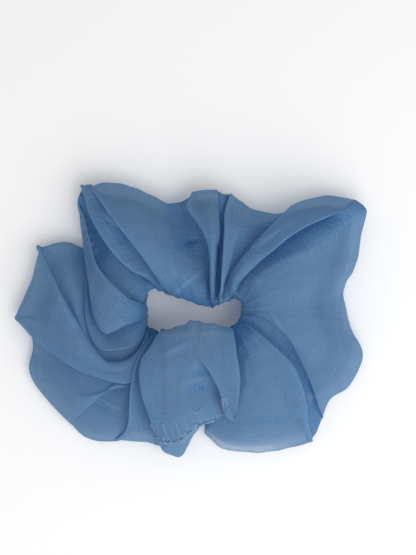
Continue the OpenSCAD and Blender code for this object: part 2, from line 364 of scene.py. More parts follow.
# How wide the turned-in allowance is; it is wider at the closing seam, where it shows through the cloth.
ALLOWANCE = per_rib(6, (FRONT_PUFF, (8, 13, 14, 14, 14, 14, 12, 8, 6)))
# How far inside the cover its two allowances lie: by the seam, and how much more at the raw edge
FIRST_INSIDE, FIRST_MORE = 0.5, 0.9
SECOND_INSIDE, SECOND_MORE = 0.3, 0.35


def seam_on_top():
    """1 where the seam lies on top, which is the closing seam, and 0 where it is underneath."""
    return np.clip(-loop_of(SEAM_PLACE) / 4, 0, 1)[:, None]


def opened(ring):
    """The cut panel: seam allowance, seam, right round the tube, seam, seam allowance. Also every point's
    distance from the seam, from the rim and from the outer fold, and whether it is on the upper face."""
    inward = -outward(ring)
    seam_place, allowance = loop_of(SEAM_PLACE), loop_of(ALLOWANCE)
    first = 1 - np.arange(TURNED_ROWS) / TURNED_ROWS
    second = np.arange(TURNED_ROWS) / TURNED_ROWS + 1 / TURNED_ROWS
    depth = np.concatenate([FIRST_INSIDE + FIRST_MORE * first, np.zeros(PLY_ROWS),
                            SECOND_INSIDE + SECOND_MORE * second])[:, None]
    on_seam = np.zeros(TURNED_ROWS)
    columns = []
    for c in range(COLUMNS):
        steps = np.linalg.norm(np.roll(ring[c], -1, 0) - ring[c], axis=1)
        knots = np.concatenate([[0], np.cumsum(steps)])
        girth, fold = knots[-1], knots[UPPER_ROWS - 1]
        seam = fold + seam_place[c]
        along = seam + np.linspace(0, girth, PLY_ROWS)
        at = np.concatenate([seam - allowance[c] * first, along, seam + girth - allowance[c] * second])
        inner = hermite(knots, inward[c], at, closed=True)
        points = hermite(knots, ring[c], at, closed=True) + inner * depth
        from_seam = np.concatenate([on_seam, np.minimum(along - seam, seam + girth - along), on_seam])
        wrapped = np.mod(at, girth)
        from_rim, from_fold = np.minimum(wrapped, girth - wrapped), np.abs(wrapped - fold)
        columns.append((points, from_seam, from_rim, from_fold, wrapped < fold))
    return [np.array(values) for values in zip(*columns)]


PLEATS, PLEAT_HEIGHT = 64, 0.42       # gathers on the elastic
SOFT_HEIGHT, FINE_HEIGHT = 1.6, 0.5   # creases running out from them, and fine wrinkles
SEAM_GROOVE, GROOVE_WIDTH = 0.45, 1.1
PUCKERS, PUCKER_REACH = 150, 3.0      # along the seam
PUCKER_HEIGHT, PUCKER_MORE = 0.25, 0.7


def gathered(cloth, from_seam, from_rim):
    """Adds the gathers at the rim, the soft creases running out from them, and the puckers along the seam."""
    turn = 2 * math.pi * np.arange(len(cloth))[:, None] / len(cloth)
    pleats = np.sin(PLEATS * turn + 5 * loop_noise(from_rim, 60, 60, 3.1))
    out = PLEAT_HEIGHT * pleats * fading(from_rim, 15)
    out += SOFT_HEIGHT * loop_noise(from_rim, 15, 55, 7.7) * (0.35 + 0.65 * fading(from_rim, 50))
    out += FINE_HEIGHT * loop_noise(from_rim, 5.5, 26, 1.3) * (1 - fading(from_rim, 12))
    puckers = np.sin(PUCKERS * turn + 9 * loop_noise(from_rim, 22, 300, 4.4))
    height = PUCKER_HEIGHT + PUCKER_MORE * seam_on_top()
    groove = fading(from_seam, GROOVE_WIDTH)
    out += -SEAM_GROOVE * groove + puckers * np.exp(-from_seam / PUCKER_REACH) * height
    spacing = np.linalg.norm(np.roll(cloth, -1, 0) - np.roll(cloth, 1, 0), axis=2)
    out *= np.clip(spacing / 1.2, 0, 1)
    return cloth + outward(cloth, closed_rows=False) * out[:, :, None]


# Short creases pressed into the cloth: from, to (in plan), height (minus is a dent), half width. On the upper
# face a raised crease also gets a painted highlight, a dent painted shade.
CREASES = [
    ((-15.8, -20.5), (-4.2, -14.2), 0.9, 1.3), ((-3.0, -33.1), (7.5, -33.1), 1.0, 1.2),
    ((-2.6, -29.8), (7.0, -29.4), -0.8, 1.8), ((-4.5, -37.5), (8.5, -37.5), -0.8, 3.0),
    ((-17, -69), (-5, -71), -0.5, 3.5), ((60, -43.7), (70.5, -41.6), 0.9, 1.3),
    ((10.5, 5.8), (17.4, 7.4), 0.5, 0.8), ((-10.5, 10.5), (7.9, 25.2), 0.5, 0.7),
    ((-13, 41), (4, 33), -0.9, 6.5), ((-52.6, -46.3), (-37.9, -54.2), -1.0, 1.1),
    ((-51, -44.4), (-38, -51.5), 0.6, 1.0), ((-5, 36.5), (5, 38.6), -0.9, 1.4),
    ((-46, 52), (-40, 46), 0.8, 1.0), ((81, 42), (76, 14), -0.6, 0.9),
    ((76, 14), (75.4, -20), -0.6, 0.9), ((75.4, -20), (73.3, -39), -0.6, 0.9),
    ((-74, 12), (-62, -6), 0.5, 1.2), ((37, 3), (45, -8), 0.8, 1.0),
    ((30, 32), (52, 47), -0.6, 1.6), ((20, -55), (58, -52), -0.5, 2.2),
]
CREASE_RISE = 1.7
# Puckered stretch down the left edge of the upper left puff, the puckers' length, half width and height
PUCKER_LINE = [(-60.5, 54), (-58.5, 47), (-56, 39), (-53.5, 31)]
EDGE_PUCKER, EDGE_PUCKER_WIDTH, EDGE_PUCKER_RISE = 4.3, 1.9, 0.9


def creased(cloth, above):
    """Presses the short creases into the top of the cloth and puckers the upper left puff's edge. Also gives
    how much each point is on a raised crease (plus) or in a dent (minus), for painted highlights and painted
    shade."""
    plan = cloth[:, :, :2]
    rise = np.zeros(cloth.shape[:2])
    pressed = np.zeros(cloth.shape[:2])
    for start, end, height, half_width in CREASES:
        start, way = np.array(start), np.array(end) - np.array(start)
        share = np.clip(((plan - start) @ way) / (way @ way), 0, 1)
        apart = np.linalg.norm(plan - start - share[:, :, None] * way, axis=2)
        line = fading(apart, half_width) * np.sin(np.pi * np.clip(share, 0.04, 0.96)) ** 0.5
        rise += CREASE_RISE * height * line
        # the plus part becomes a painted highlight, the minus part painted shade
        pressed += np.where(above, height * line, 0)
    step = 0.5
    line = spaced(np.column_stack([np.array(PUCKER_LINE, float), np.zeros(len(PUCKER_LINE))]), step)[:, :2]
    gaps = np.linalg.norm(plan[:, :, None] - line, axis=3)
    waves = np.sin(gaps.argmin(axis=2) * step * 2 * math.pi / EDGE_PUCKER)
    pucker = waves * fading(gaps.min(axis=2), EDGE_PUCKER_WIDTH)
    rise += EDGE_PUCKER_RISE * pucker
    # painted highlights on the puckers' ridges, painted shade in their hollows
    pressed += np.where(above, 0.8 * pucker, 0)
    cloth[:, :, 2] += np.where(above, rise, 0)
    return cloth, pressed


ELASTIC_INSET = 3.0                # from the rim
ELASTIC_STEP = 0.4                 # between points along the elastic
ELASTIC_LOW, ELASTIC_HIGH = -4.6, 3.0
ELASTIC_THICK = 1.2
ELASTIC_ROOM = 0.9                 # between the cloth and the elastic's edges
CLOTH_GAP, TURNED_GAP = 0.25, 0.8  # over the table, of the cloth and of the turned-in allowances
RIM_PASSES, RIM_REACH = 80, 3.5    # of the smoothing that evens the rim


def elastic_path(ring):
    """Where the elastic runs, in plan: the rim's line, set back inside the cover. Also the ways out of it."""
    rim = ring[:, 0, :2]
    even = spaced(np.column_stack([np.vstack([rim, rim[:1]]), np.zeros(len(rim) + 1)]), ELASTIC_STEP)[:, :2]
    even = smoothed(even, 9)
    ahead = np.roll(even, -1, 0) - np.roll(even, 1, 0)
    ahead /= np.linalg.norm(ahead, axis=1, keepdims=True)
    out = np.column_stack([ahead[:, 1], -ahead[:, 0]])
    return even + ELASTIC_INSET * out, out


def cleared(cloth, above, from_rim, path, out):
    """Keeps the cloth off the table and round the elastic, which runs along the path, and evens the rim."""
    flat = cloth.reshape(-1, 3)
    path, out = path[::2], out[::2]
    gaps = np.linalg.norm(flat[:, None, :2] - path[None], axis=2)
    nearest, gap = gaps.argmin(axis=1), gaps.min(axis=1)
    side = ((flat[:, :2] - path[nearest]) * out[nearest]).sum(axis=1)
    close = (gap < 2 * ELASTIC_THICK) & (side > -1.3)
    over, under = close & above.ravel(), close & ~above.ravel()
    flat[over, 2] = np.maximum(flat[over, 2], ELASTIC_HIGH + ELASTIC_ROOM)
    flat[under, 2] = np.minimum(flat[under, 2], ELASTIC_LOW - ELASTIC_ROOM)
    flat[:, 2] = np.maximum(flat[:, 2], TABLE_Z + CLOTH_GAP)
    shaped = flat.reshape(cloth.shape)
    share = fading(from_rim, RIM_REACH)[:, :, None]
    shaped = share * evened(shaped, RIM_PASSES) + (1 - share) * shaped
    for rows in (slice(0, TURNED_ROWS), slice(-TURNED_ROWS, None)):
        shaped[:, rows, 2] = np.maximum(shaped[:, rows, 2], TABLE_Z + TURNED_GAP)
    return shaped


# ------------ where the cloth looks deeper or paler

CREST_REACH, POCKET_REACH = 1.3, 5.0
# How see-through the band inside the outer fold is, rib by rib: 1 is a crisp pale band
BAND_WIDTH = 7.0
PALE_BAND = per_rib(0, (RIGHT_PUFF, -0.2), (LEFT_PUFF, 0.1), (LOWER_LEFT, 0.25),
                    (LOWER_RIGHT, (0.3, 1, 1, 0.6, 0.1, 0, 0, 0, 0, 0, 0, 0.1, -0.1)))
# How much deeper the cloth's colour gets where it is gathered at the rim, and how far out: partly the deeper
# colour of crowded layers, partly painted shade of the low rim
GATHER_REACH = 17
GATHER_DEPTH_AND_RIM_SHADE = per_rib(0.5, (TOP_PLEATS, 0.8), (BACK_PANEL, 0.8), (LEFT_LIPS, 0.65), (TONGUE, 0.75),
                       (LEFT_PUFF, 0.8), (LOWER_LEFT, 1), (FRONT_PUFF, 0),
                       (LOWER_RIGHT, (1, 1, 1, 0.9, 0.8, 0.7, 0.6, 0.6, 0.6, 0.6, 0.5, 0.5, 0.5)))
# Painted shade on whole ribs that lie deep in a hollow, from this far from the rim outwards
HOLLOWS_START = 24
HOLLOW_PAINTED_SHADE = per_rib(0, (RIGHT_PUFF, (0, 0, 0, 0.45)), (UPPER_LIP, (0.7, 0, 0, 0, 0.1, 0.4)), (BACK_DIP, 0.35),
                  (TOP_PLEATS, (0.35, 0.15, 0.6, 0.6, 0.8, 0, 0, 0, 0.5)), (BACK_PANEL, (0.55, 0.4, 0)),
                  (LEFT_LIPS, (0, 0, 0, 0.7, 0.55, 0, 0.6, 0.75)), (TONGUE, (0.4, 0, 0, 0, 0.2, 0, 0.2)),
                  (LOWER_RIGHT, (0, 0, 0, 0, 0, 0.5, 0.6, 0.5, 0, 0, 0, 0, 0)))


def fold_lines(above, from_rim):
    """1 along the sharp top edge of each leaning fold, and up to 1 in the pocket that it leans over. The
    edges get painted highlights and the pockets painted shade.
    """
    crests, pockets, index = [], [], 0
    for ribs in [ribs for group in GROUPS for ribs in group]:
        if len(ribs) == 2:
            first_is_crest = ribs[0][:, 2].sum() > ribs[1][:, 2].sum()
            crest, pocket = (index, index + 1) if first_is_crest else (index + 1, index)
            depth = (RIBS[crest][:, 2] - RIBS[pocket][:, 2]).max()
            crests.append((crest, pocket, 1.0))
            # the deeper the pocket under its crest, the darker its painted shade
            pockets.append((pocket, crest, np.clip((depth - 4) / 12, 0, 1)))
        index += len(ribs)
    away_from_rim = 1 - fading(from_rim, 14)
    made = []
    for lines, reach in ((crests, CREST_REACH), (pockets, POCKET_REACH)):
        most = np.zeros(from_rim.shape)
        for rib, partner, weight in lines:
            along = SECTIONS[rib][:UPPER_ROWS]
            apart = np.linalg.norm(along - SECTIONS[partner][:UPPER_ROWS], axis=1)
            overlap = np.interp(from_rim, run_along(along), np.clip(apart / 5, 0, 1))
            line = fading(COLUMN_PLACES - RIB_KNOTS[rib], reach)[:, None]
            most = np.maximum(most, weight * overlap * line)
        made.append(np.where(above, most * away_from_rim, 0))
    return made


def deepening_and_painted_shade(above, from_seam, from_rim, pockets, pressed):
    """How deep the cloth's colour is: deeper at the gathers and over the allowance, partly painted shade by
    the low rim, and painted shade in hollows, pockets and dents.
    """
    # deeper colour of the gathers, partly painted shade of the low rim
    gathers = loop_of(GATHER_DEPTH_AND_RIM_SHADE)[:, None] * np.exp(-(from_rim / GATHER_REACH) ** 1.3)
    outside = 1 + np.exp((HOLLOWS_START - from_rim) / 3)
    # painted shade on the ribs that lie in hollows
    hollows = np.where(above, np.clip(loop_of(HOLLOW_PAINTED_SHADE), 0, 1)[:, None] / outside, 0)
    allowance_line = seam_on_top() * fading(from_seam - loop_of(ALLOWANCE)[:, None], 0.7)
    # painted shade in the pressed dents; the allowance is a layer seen through the sheer cloth
    dents = np.maximum(-0.8 * pressed, 0.4 * allowance_line)
    return np.maximum(np.maximum(gathers, hollows), np.maximum(pockets, dents))


def painted_crest_highlights(from_seam, crests, pressed):
    """Painted highlights: how much paler the cloth's colour is made on folds' crests, raised creases and the
    closing seam's ridge.
    """
    loops = loop_noise(np.zeros_like(from_seam), 2.6, 300, 2.2)
    # painted highlight along the closing seam's ridge
    seam_ridge_highlight = seam_on_top() * fading(from_seam, 2.2) * (0.8 + 0.7 * loops)
    return np.clip(crests + 1.3 * np.clip(pressed, 0, 1) + seam_ridge_highlight, 0, 1)


def edge_cover(from_fold):
    """How much more than elsewhere the cloth hides near its outer fold, and less in the pale bands there."""
    width = BAND_WIDTH + 4 * loop_noise(np.zeros_like(from_fold), 40, 60, 9.2)
    band = loop_of(PALE_BAND)[:, None] / (1 + np.exp((from_fold - width) / 0.35))
    return 0.17 * fading(from_fold, 9) + 0.3 * fading(from_fold, 0.8) - 0.42 * band


# ------------ the cloth settles

SETTLE_FRAMES = 12
SETTLE_CAP = 1.8     # no point moves further, in millimetres
SETTLE_STEPS = 20    # steps of the weight that holds a point
FABRIC = {"quality": 6, "mass": 0.02, "tension_stiffness": 12, "compression_stiffness": 12,
          "shear_stiffness": 4, "bending_stiffness": 0.02, "air_damping": 4, "pin_stiffness": 1.0,
          "shrink_min": -0.04}
FABRIC_GRAVITY = 0.3


def settled(piece, cloth, from_rim, from_seam, crests):
    """Cloth simulation: the ply, a little larger than its place, buckles into small natural wrinkles and sags
    on to its folds. It is held at the elastic and along the seam, and no point moves further than the cap."""
    group = piece.vertex_groups.new(name="held")
    held = 0.2 + fading(from_rim, 7) + 0.8 * fading(from_seam, 2) + 0.5 * crests
    steps = np.round(np.clip(held, 0, 1).ravel() * SETTLE_STEPS).astype(int)
    for step in np.unique(steps):
        group.add(np.nonzero(steps == step)[0].tolist(), step / SETTLE_STEPS, "REPLACE")
    before = np.empty(len(piece.data.vertices) * 3, np.float32)
    piece.data.vertices.foreach_get("co", before)
    fabric = piece.modifiers.new("settle", "CLOTH")
    for name, value in FABRIC.items():
        setattr(fabric.settings, name, value)
    fabric.settings.vertex_group_mass = "held"
    fabric.settings.effector_weights.gravity = FABRIC_GRAVITY
    fabric.collision_settings.use_collision = False
    fabric.collision_settings.use_self_collision = False
    fabric.point_cache.frame_start, fabric.point_cache.frame_end = 1, SETTLE_FRAMES
    scene = bpy.context.scene
    for number in range(1, SETTLE_FRAMES + 1):
        scene.frame_set(number)
    after = np.empty_like(before)
    piece.evaluated_get(bpy.context.evaluated_depsgraph_get()).data.vertices.foreach_get("co", after)
    piece.modifiers.remove(fabric)
    piece.vertex_groups.remove(group)
    scene.frame_set(1)
    moved = (after - before).reshape(*from_rim.shape, 3)
    for _ in range(2):
        moved = evened(moved, 1)
        moved[:, 1:-1] = (moved[:, :-2] + 2 * moved[:, 1:-1] + moved[:, 2:]) / 4
    moved *= np.minimum(1, SETTLE_CAP * MM / np.maximum(sizes(moved), TINY))
    points = before + moved.ravel()
    points[2::3] = np.maximum(points[2::3], (TABLE_Z + CLOTH_GAP) * MM)
    piece.data.vertices.foreach_set("co", points)
    piece.data.update()
    return points.reshape(cloth.shape).astype(float) / MM


# ------------ meshes

def new_piece(name, mesh):
    """An object for a smooth-shaded mesh."""
    mesh.polygons.foreach_set("use_smooth", [True] * len(mesh.polygons))
    piece = bpy.data.objects.new(name, mesh)
    bpy.context.scene.collection.objects.link(piece)
    return piece


def grid_mesh(name, grid, closed_columns=True, closed_rows=True, flipped=False):
    """Piece from a grid of points in millimetres."""
    columns, rows = grid.shape[:2]
    mesh = bpy.data.meshes.new(name)
    i, j = np.meshgrid(np.arange(columns if closed_columns else columns - 1),
                       np.arange(rows if closed_rows else rows - 1), indexing="ij")
    i2, j2 = (i + 1) % columns, (j + 1) % rows
    faces = np.stack([i * rows + j, i * rows + j2, i2 * rows + j2, i2 * rows + j], axis=-1).reshape(-1, 4)
    if flipped:
        faces = faces[:, ::-1]
    mesh.from_pydata((grid.reshape(-1, 3) * MM).tolist(), [], faces.tolist())
    return new_piece(name, mesh)


def mesh_corners(mesh):
    """The vertex at every corner of every face."""
    corners = np.empty(len(mesh.loops), int)
    mesh.loops.foreach_get("vertex_index", corners)
    return corners


def cut_map(mesh, u, v):
    """UV map in metres of the flat cut: u along its length, v across it, both for every corner."""
    uv = mesh.uv_layers.new(name="cut")
    uv.data.foreach_set("uv", np.stack([u, v], axis=1).ravel().astype(np.float32))


def cloth_uv(mesh, columns, rows, width):
    """The cover's place on its flat cut; the column where the loop closes has both ends of the cut."""
    corners = mesh_corners(mesh)
    column, row = (corners // rows).reshape(-1, 4), corners % rows
    first, last = column.min(axis=1, keepdims=True), column.max(axis=1, keepdims=True)
    wraps = (first == 0) & (last == columns - 1)
    column = np.where(wraps & (column == 0), columns, column).ravel()
    cut_map(mesh, column / columns * FLAT_LENGTH * MM, row / (rows - 1) * width * MM)


def number_attribute(mesh, name, values):
    """A number at every point of the mesh, for its material."""
    attribute = mesh.attributes.new(name, "FLOAT", "POINT")
    attribute.data.foreach_set("value", np.asarray(values, np.float32).ravel())


THREAD_RADIUS = 0.2
THREAD_GAP = 0.15                              # over the table
STITCH_SHARES = (0.0, 0.15, 0.5, 0.85, 1.0)    # along one stitch
STITCH_RISES = (-0.25, 0.12, 0.2, 0.12, -0.25)


def tube(path, radius, sides=6, closed=False):
    """Rings of a round thread along a path in millimetres, kept off the table, and whether it is closed."""
    path = np.array(path, float)
    path[:, 2] = np.maximum(path[:, 2], TABLE_Z + THREAD_GAP + radius)
    ahead = np.roll(path, -1, 0) - np.roll(path, 1, 0)
    if not closed:
        ahead[0], ahead[-1] = path[1] - path[0], path[-1] - path[-2]
    ahead /= np.maximum(sizes(ahead), TINY)
    guide = np.where(np.abs(ahead[:, 2:3]) > 0.9, [[1.0, 0, 0]], [[0, 0, 1.0]])
    side = np.cross(ahead, guide)
    side /= np.linalg.norm(side, axis=1, keepdims=True)
    up = np.cross(side, ahead)
    turn = (2 * math.pi * np.arange(sides) / sides)[None, :, None]
    return path[:, None] + radius * (np.cos(turn) * side[:, None] + np.sin(turn) * up[:, None]), closed


def thread_piece(name, tubes):
    """One piece from several thread tubes, their ends closed."""
    points, faces = [], []
    for rings, closed in tubes:
        start, (count, sides) = len(points), rings.shape[:2]
        points += (rings.reshape(-1, 3) * MM).tolist()
        for i in range(count if closed else count - 1):
            for j in range(sides):
                a, b = start + i * sides, start + (i + 1) % count * sides
                k = (j + 1) % sides
                faces.append((a + j, a + k, b + k, b + j))
        if not closed:
            faces.append(tuple(start + j for j in reversed(range(sides))))
            faces.append(tuple(start + (count - 1) * sides + j for j in range(sides)))
    mesh = bpy.data.meshes.new(name)
    mesh.from_pydata(points, [], faces)
    return new_piece(name, mesh)


def dashes(path, pitch, cover):
    """Straight stitches along a path: each covers a share of the pitch, and its ends dip into the cloth."""
    marks = spaced(path, pitch)
    rise = np.column_stack([np.zeros(5), np.zeros(5), STITCH_RISES])
    share = np.array(STITCH_SHARES)[:, None] * cover
    made = []
    for a, b in zip(marks[:-1], marks[1:]):
        if np.linalg.norm(b - a) >= 0.5 * pitch:
            made.append(tube(a + share * (b - a) + rise, THREAD_RADIUS, 5))
    return made


# ------------ materials

def new_material(name):
    """A new material, its node tree and its main shader."""
    material = bpy.data.materials.new(name)
    material.use_nodes = True
    tree = material.node_tree
    return material, tree, tree.nodes["Principled BSDF"]


def feed(tree, receiver, inputs):
    """Links or sets a node's inputs."""
    for socket, value in inputs.items():
        if isinstance(value, bpy.types.NodeSocket):
            tree.links.new(value, receiver.inputs[socket])
        else:
            receiver.inputs[socket].default_value = value


def node(tree, kind, inputs, **settings):
    """A new shader node with its settings and inputs."""
    made = tree.nodes.new("ShaderNode" + kind)
    for key, value in settings.items():
        setattr(made, key, value)
    feed(tree, made, inputs)
    return made


def maths(tree, operation, *values):
    """The result of one Math node."""
    return node(tree, "Math", dict(enumerate(values)), operation=operation).outputs[0]


def weighted(tree, value, weight, rest):
    """value * weight + rest"""
    return maths(tree, "MULTIPLY_ADD", value, weight, rest)


def noise_of(tree, vector, scale, detail, **more):
    """The height of a noise texture."""
    return node(tree, "TexNoise", {"Vector": vector, "Scale": scale, "Detail": detail, **more}).outputs[0]


def stretched(tree, vector, scale, location=(0, 0, 0)):
    """A coordinate scaled differently each way, for long thin features."""
    return node(tree, "Mapping", {"Vector": vector, "Scale": scale, "Location": location}).outputs[0]


def attribute(tree, name):
    """The number that number_attribute gave to each point."""
    return node(tree, "Attribute", {}, attribute_name=name).outputs["Fac"]


def cut_place(tree):
    """The place on the flat cut, as a vector, along its length and across it."""
    cut = node(tree, "UVMap", {}, uv_map="cut").outputs[0]
    xyz = node(tree, "SeparateXYZ", {0: cut})
    return cut, xyz.outputs[0], xyz.outputs[1]


def ramp_of(tree, value, first, last, middle=None, middle_at=0.5):
    """The colour of a ramp from the first colour to the last, through the middle one if it has one."""
    ramp = node(tree, "ValToRGB", {0: value})
    ramp.color_ramp.elements[0].color = first
    ramp.color_ramp.elements[1].color = last
    if middle:
        ramp.color_ramp.elements.new(middle_at).color = middle
    return ramp.outputs[0]


def bump_of(tree, height, strength, distance):
    """The normal of a bumpy surface, the bumps' distance in metres."""
    return node(tree, "Bump", {"Strength": strength, "Distance": distance, "Height": height}).outputs[0]


def yarns(tree, coordinate, pitch, wobble):
    """Height of one set of yarns, 0 to 1, across a coordinate in metres."""
    moved = weighted(tree, wobble, pitch * 0.7, coordinate)
    wave = maths(tree, "SINE", maths(tree, "MULTIPLY", moved, 2 * math.pi / pitch))
    return weighted(tree, wave, 0.5, 0.5)


# the ramp's deep end also gives the painted shade, its pale end the painted highlights
ORGANZA_DEEP = (0.022, 0.152, 0.405, 1)
ORGANZA_MID = (0.096, 0.238, 0.452, 1)
ORGANZA_PALE = (0.170, 0.325, 0.520, 1)
ORGANZA_THROUGH = (0.11, 0.37, 0.70, 1)
SHEEN_TINT = (0.75, 0.86, 1.0, 1)
WARP_PITCH, WEFT_PITCH = 0.00085, 0.00095
WEAVE_BUMP = 0.00025
OWN_COVER = 0.50     # how much of what is behind one ply hides, before the yarns and the gathers add to it
MOST_COVER = 0.985


def weave_height(tree, cut, along, across):
    """Height of the plain weave: crossed yarns, slubs both ways and fuzz."""
    wobble = noise_of(tree, cut, 90.0, 1.0)
    warp = yarns(tree, across, WARP_PITCH, wobble)
    weft = yarns(tree, along, WEFT_PITCH, wobble)
    weave = weighted(tree, maths(tree, "ADD", warp, weft), 0.5, 0.0)
    # slubs: long thin thick places in single yarns
    slub_warp = noise_of(tree, stretched(tree, cut, (45, 900, 1)), 1.0, 2.0)
    slub_weft = noise_of(tree, stretched(tree, cut, (800, 40, 1), (3, 7, 0)), 1.0, 2.0)
    slubs = weighted(tree, maths(tree, "ADD", slub_warp, slub_weft), 1.0, -0.5)
    fuzz = weighted(tree, noise_of(tree, cut, 850.0, 3.0, Roughness=0.7), 1.1, -0.25)
    return weighted(tree, weave, 0.34, weighted(tree, slubs, 0.55, fuzz))


def organza():
    """Sheer plain weave, closer and deeper where the cloth is gathered, with painted shade in hollows,
    pockets and dents and painted highlights on crests, raised creases and the seam's ridge.
    """
    material, tree, shader = new_material("organza")
    cut, along, across = cut_place(tree)
    yarn = weave_height(tree, cut, along, across)
    gather_and_painted_shade, crest, edge = [attribute(tree, name) for name in ("gather_and_painted_shade", "crest", "edge_cover")]
    cloud = noise_of(tree, cut, 22.0, 2.0)
    # colour: deeper where the yarns crowd together and in the painted shade, paler on single open cloth and
    # on the painted highlights
    depth = weighted(tree, gather_and_painted_shade, 0.75, weighted(tree, cloud, 0.3, weighted(tree, yarn, -0.9, 0.39)))
    # painted highlights: paler on fold crests, raised creases and the closing seam's ridge
    depth = weighted(tree, crest, -1.1, depth)
    feed(tree, shader, {
        "Base Color": ramp_of(tree, depth, ORGANZA_PALE, ORGANZA_DEEP, ORGANZA_MID, 0.35),
        "Roughness": weighted(tree, yarn, -0.18, 0.72),
        "Normal": bump_of(tree, yarn, 0.55, WEAVE_BUMP),
        "Sheen Weight": 0.18,
        "Sheen Roughness": 0.2,
        "Sheen Tint": SHEEN_TINT,
        "Specular IOR Level": 0.25,
    })
    # cover: how much of what is behind one ply hides
    solid = weighted(tree, yarn, 0.2, weighted(tree, gather_and_painted_shade, 0.42, OWN_COVER))
    solid = maths(tree, "ADD", edge, weighted(tree, crest, 0.25, solid))
    solid = maths(tree, "MINIMUM", solid, MOST_COVER)
    through = node(tree, "BsdfTranslucent", {"Color": ORGANZA_THROUGH})
    yarn_side = node(tree, "MixShader", {0: 0.3, 1: shader.outputs[0], 2: through.outputs[0]})
    gaps = node(tree, "BsdfTransparent", {})
    sheer = node(tree, "MixShader", {0: solid, 1: gaps.outputs[0], 2: yarn_side.outputs[0]})
    feed(tree, tree.nodes["Material Output"], {"Surface": sheer.outputs[0]})
    return material


def sewing_thread(name, tone):
    """Two-ply twisted thread: slanted plies, slight sheen."""
    material, tree, shader = new_material(name)
    place = node(tree, "TexCoord", {}).outputs["Object"]
    twist = node(tree, "TexWave", {"Vector": place, "Scale": 900.0, "Distortion": 1.5},
                 bands_direction="DIAGONAL").outputs["Fac"]
    fibre = noise_of(tree, place, 2500.0, 2.0)
    darker, lighter = [tuple(part * share for part in tone) + (1,) for share in (0.7, 1.2)]
    shade = weighted(tree, fibre, 0.5, maths(tree, "MULTIPLY", twist, 0.5))
    feed(tree, shader, {
        "Base Color": ramp_of(tree, shade, darker, lighter),
        "Roughness": weighted(tree, fibre, 0.2, 0.45),
        "Normal": bump_of(tree, twist, 0.5, 0.00008),
    })
    return material


RIB_PITCH, SLANT_PITCH = 0.0008, 0.0013
ELASTIC_DARK, ELASTIC_LIGHT = (0.52, 0.54, 0.56, 1), (0.80, 0.81, 0.82, 1)


def braided_elastic():
    """Flat braided elastic: fine lengthwise ribs crossed by slanted yarns."""
    material, tree, shader = new_material("braided_elastic")
    _, along, across = cut_place(tree)
    both = maths(tree, "ADD", along, across)
    rib = maths(tree, "SINE", maths(tree, "MULTIPLY", across, 2 * math.pi / RIB_PITCH))
    slant = maths(tree, "SINE", maths(tree, "MULTIPLY", both, 2 * math.pi / SLANT_PITCH))
    height = weighted(tree, rib, 0.3, weighted(tree, slant, 0.2, 0.5))
    feed(tree, shader, {
        "Base Color": ramp_of(tree, height, ELASTIC_DARK, ELASTIC_LIGHT),
        "Roughness": weighted(tree, height, -0.15, 0.8),
        "Normal": bump_of(tree, height, 0.6, 0.0002),
    })
    return material


# ------------ pieces

def cover_piece(ring):
    """The organza cover. Also the points it settles into."""
    cloth, from_seam, from_rim, from_fold, above = opened(ring)
    cloth, pressed = creased(gathered(cloth, from_seam, from_rim), above)
    cloth = cleared(cloth, above, from_rim, *elastic_path(ring))
    cloth_width = float(np.linalg.norm(np.diff(cloth, axis=1), axis=2).sum(axis=1).mean())
    cover = grid_mesh("organza_cover", cloth, closed_rows=False, flipped=True)
    cloth_uv(cover.data, *cloth.shape[:2], cloth_width)
    crests, pockets = fold_lines(above, from_rim)
    # point numbers for the material, with painted shade and painted highlights among them
    number_attribute(cover.data, "gather_and_painted_shade", deepening_and_painted_shade(above, from_seam, from_rim, pockets, pressed))
    number_attribute(cover.data, "crest", painted_crest_highlights(from_seam, crests, pressed))
    number_attribute(cover.data, "edge_cover", edge_cover(from_fold))
    cover.data.materials.append(organza())
    cloth = settled(cover, cloth, from_rim, from_seam, crests)
    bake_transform(cover)
    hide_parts("cover_back", "cover_front")
    return cloth


BAND_SIDES = 20
LAP_AT, LAP_LENGTH = 90, 14    # degrees round the loop, millimetres


def flat_band(name, path, out, closed):
    """A flat band standing on edge, with rounded edges, along a plan path."""
    middle, half = (ELASTIC_LOW + ELASTIC_HIGH) / 2, (ELASTIC_HIGH - ELASTIC_LOW) / 2
    turn = 2 * math.pi * np.arange(BAND_SIDES) / BAND_SIDES
    wide = np.sign(np.sin(turn)) * np.abs(np.sin(turn)) ** 0.5 * half
    deep = np.sign(np.cos(turn)) * np.abs(np.cos(turn)) ** 0.8 * ELASTIC_THICK / 2
    grid = np.zeros((len(path), BAND_SIDES, 3))
    grid[:, :, :2] = path[:, None] + out[:, None] * deep[None, :, None]
    grid[:, :, 2] = middle + wide[None, :]
    piece = grid_mesh(name, grid, closed_columns=closed)
    corners = mesh_corners(piece.data)
    step = np.linalg.norm(np.diff(path, axis=0), axis=1).mean()
    cut_map(piece.data, (corners // BAND_SIDES) * step * MM, wide[corners % BAND_SIDES] * MM)
    return piece


def lap_zigzag(lap_path, out):
    """The zigzag stitching on the lap's outer face."""
    outer = lap_path + out * (ELASTIC_THICK * 0.5 + 0.12)
    zig = np.abs((np.arange(len(outer)) / 3.5) % 2 - 1)
    span = ELASTIC_HIGH - ELASTIC_LOW - 1.6
    heights = ELASTIC_LOW + 0.8 + span * (0.5 + 0.28 * (2 * zig - 1))
    return thread_piece("elastic_lap_zigzag", [tube(np.column_stack([outer, heights]), THREAD_RADIUS)])


